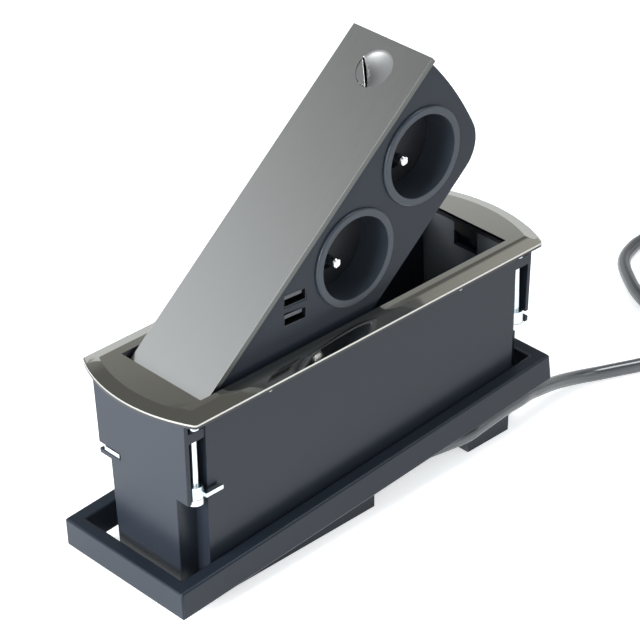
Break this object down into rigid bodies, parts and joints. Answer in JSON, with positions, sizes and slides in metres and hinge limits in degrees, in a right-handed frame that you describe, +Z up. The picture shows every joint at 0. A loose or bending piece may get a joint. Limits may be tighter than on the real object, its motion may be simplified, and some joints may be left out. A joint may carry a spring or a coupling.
{
  "type": "flush desk socket",
  "caption": "Desk socket block that tilts up out of a drop-in housing with a bowed bezel, corner clamps, a push-on frame and a free cord.",
  "frame": {"origin": "underside of the housing, under the middle of the bezel opening", "axes": "+X along the housing from the pivot end towards the latch end, +Y from the socket face to the back, +Z up through the bezel"},
  "size_m": [0.5372, 0.1165, 0.2147],
  "materials": {
    "housing": "satin moulded",
    "base_cover": "moulded",
    "bezel": "polished dark metal",
    "bezel_clips": "moulded",
    "hinge_pins": "turned",
    "latch_keeper": "pressed",
    "cable_gland": "moulded",
    "strain_relief": "ribbed boot",
    "terminal_block": "moulded",
    "cover_screws": "zinc plated",
    "block_front": "satin moulded",
    "block_rear": "satin moulded",
    "lid": "brushed lengthwise",
    "pivot_bushes": "turned",
    "socket_ring": "satin moulded",
    "socket_floor": "moulded",
    "earth_pin": "plated",
    "shutter": "moulded",
    "live_contacts": "sprung",
    "usb_shell": "plated",
    "usb_tongue": "moulded",
    "charger_board": "laminate",
    "block_screws": "zinc plated",
    "latch_flap": "brushed",
    "latch_hook": "pressed",
    "clamp_screw": "bright zinc",
    "clamp_nut": "threaded",
    "pawl": "bright zinc",
    "clamping_frame": "satin moulded",
    "cord": "glossy sheath",
    "cord_tie": "woven strap",
    "plug_body": "moulded",
    "plug_relief": "moulded",
    "plug_pins": "nickel plated"
  },
  "bodies": {
    "housing": {"housing": "housing", "base_cover": "base_cover", "bezel": "bezel", "bezel_clips": "bezel_clips", "hinge_pins": "hinge_pins", "latch_keeper": "latch_keeper", "cable_gland": "cable_gland", "strain_relief": "strain_relief", "terminal_block": "terminal_block", "cover_screws": "cover_screws", "cord_lead": "cord", "cord_coil": "cord", "cord_tail": "cord", "cord_tie": "cord_tie", "plug_body": "plug_body", "plug_pins": "plug_pins", "plug_relief": "plug_relief"},
    "block": {"block_front": "block_front", "block_rear": "block_rear", "lid": "lid", "pivot_bushes": "pivot_bushes", "socket_ring_1": "socket_ring", "socket_ring_2": "socket_ring", "socket_floor_1": "socket_floor", "socket_floor_2": "socket_floor", "earth_pin_1": "earth_pin", "earth_pin_2": "earth_pin", "live_contacts_1": "live_contacts", "live_contacts_2": "live_contacts", "usb_shell_1": "usb_shell", "usb_shell_2": "usb_shell", "usb_tongue_1": "usb_tongue", "usb_tongue_2": "usb_tongue", "charger_board": "charger_board", "block_screws": "block_screws"},
    "flap": {"latch_flap": "latch_flap"},
    "hook": {"latch_hook": "latch_hook"},
    "shutter_1": {"shutter_1": "shutter"},
    "shutter_2": {"shutter_2": "shutter"},
    "screw_lf": {"clamp_screw_lf": "clamp_screw"},
    "nut_lf": {"clamp_nut_lf": "clamp_nut"},
    "pawl_lf": {"pawl_lf": "pawl"},
    "screw_rf": {"clamp_screw_rf": "clamp_screw"},
    "pawl_rf": {"pawl_rf": "pawl", "clamp_nut_rf": "clamp_nut"},
    "screw_lb": {"clamp_screw_lb": "clamp_screw"},
    "pawl_lb": {"pawl_lb": "pawl", "clamp_nut_lb": "clamp_nut"},
    "screw_rb": {"clamp_screw_rb": "clamp_screw"},
    "nut_rb": {"clamp_nut_rb": "clamp_nut"},
    "pawl_rb": {"pawl_rb": "pawl"},
    "frame": {"clamping_frame": "clamping_frame"}
  },
  "joints": [
    {"name": "block_tilt", "type": "hinge", "parent": "housing", "child": "block", "pos_m": [-0.0827, 0, 0.0955], "axis": [0, -1, 0], "range_deg": [-39.7, 0], "stiffness_Nm_per_rad": 0.35, "springref_deg": 51.57},
    {"name": "flap_pull", "type": "hinge", "parent": "block", "child": "flap", "pos_m": [0.03163, 0.00607, 0.20082], "axis": [-0.5627, -0.682, -0.4672], "range_deg": [0, 20], "stiffness_Nm_per_rad": 0.004},
    {"name": "hook_slide", "type": "slide", "parent": "block", "child": "hook", "axis": [0.7694, 0, 0.6388], "range_m": [0, 0.0025]},
    {"name": "shutter_1_slide", "type": "slide", "parent": "block", "child": "shutter_1", "axis": [0.9957, 0, -0.0924], "range_m": [0, 0.008], "stiffness_N_per_m": 40},
    {"name": "shutter_2_slide", "type": "slide", "parent": "block", "child": "shutter_2", "axis": [0.9957, 0, -0.0924], "range_m": [0, 0.008], "stiffness_N_per_m": 40},
    {"name": "screw_lf_turn", "type": "hinge", "parent": "housing", "child": "screw_lf", "pos_m": [-0.1002, -0.0267, 0.0617], "axis": [0, 0, 1], "range_deg": [-11800, 0]},
    {"name": "nut_lf_rise", "type": "slide", "parent": "housing", "child": "nut_lf", "axis": [0, 0, 1], "range_m": [0, 0.0229]},
    {"name": "pawl_lf_swing", "type": "hinge", "parent": "nut_lf", "child": "pawl_lf", "pos_m": [-0.1002, -0.0267, 0.0617], "axis": [0, 0, 1], "range_deg": [-60, 0]},
    {"name": "screw_rf_turn", "type": "hinge", "parent": "housing", "child": "screw_rf", "pos_m": [0.1002, -0.0267, 0.0617], "axis": [0, 0, 1], "continuous": true},
    {"name": "pawl_rf_swing", "type": "hinge", "parent": "housing", "child": "pawl_rf", "pos_m": [0.1002, -0.0267, 0.0617], "axis": [0, 0, 1], "range_deg": [-150, 0]},
    {"name": "screw_lb_turn", "type": "hinge", "parent": "housing", "child": "screw_lb", "pos_m": [-0.1002, 0.0267, 0.0617], "axis": [0, 0, 1], "continuous": true},
    {"name": "pawl_lb_swing", "type": "hinge", "parent": "housing", "child": "pawl_lb", "pos_m": [-0.1002, 0.0267, 0.0617], "axis": [0, 0, 1], "range_deg": [-150, 0]},
    {"name": "screw_rb_turn", "type": "hinge", "parent": "housing", "child": "screw_rb", "pos_m": [0.1002, 0.0267, 0.0617], "axis": [0, 0, 1], "range_deg": [-11800, 0]},
    {"name": "nut_rb_rise", "type": "slide", "parent": "housing", "child": "nut_rb", "axis": [0, 0, 1], "range_m": [0, 0.0229]},
    {"name": "pawl_rb_swing", "type": "hinge", "parent": "nut_rb", "child": "pawl_rb", "pos_m": [0.1002, 0.0267, 0.0617], "axis": [0, 0, 1], "range_deg": [-60, 0]},
    {"name": "frame_slide", "type": "slide", "parent": "housing", "child": "frame", "axis": [0, -0.023, 0.9997], "range_m": [0, 0.018]}
  ],
  "couplings": [
    {"joint": "screw_lf_turn", "follows": "nut_lf_rise", "rad_per_m": -8976},
    {"joint": "screw_rb_turn", "follows": "nut_rb_rise", "rad_per_m": -8976}
  ]
}
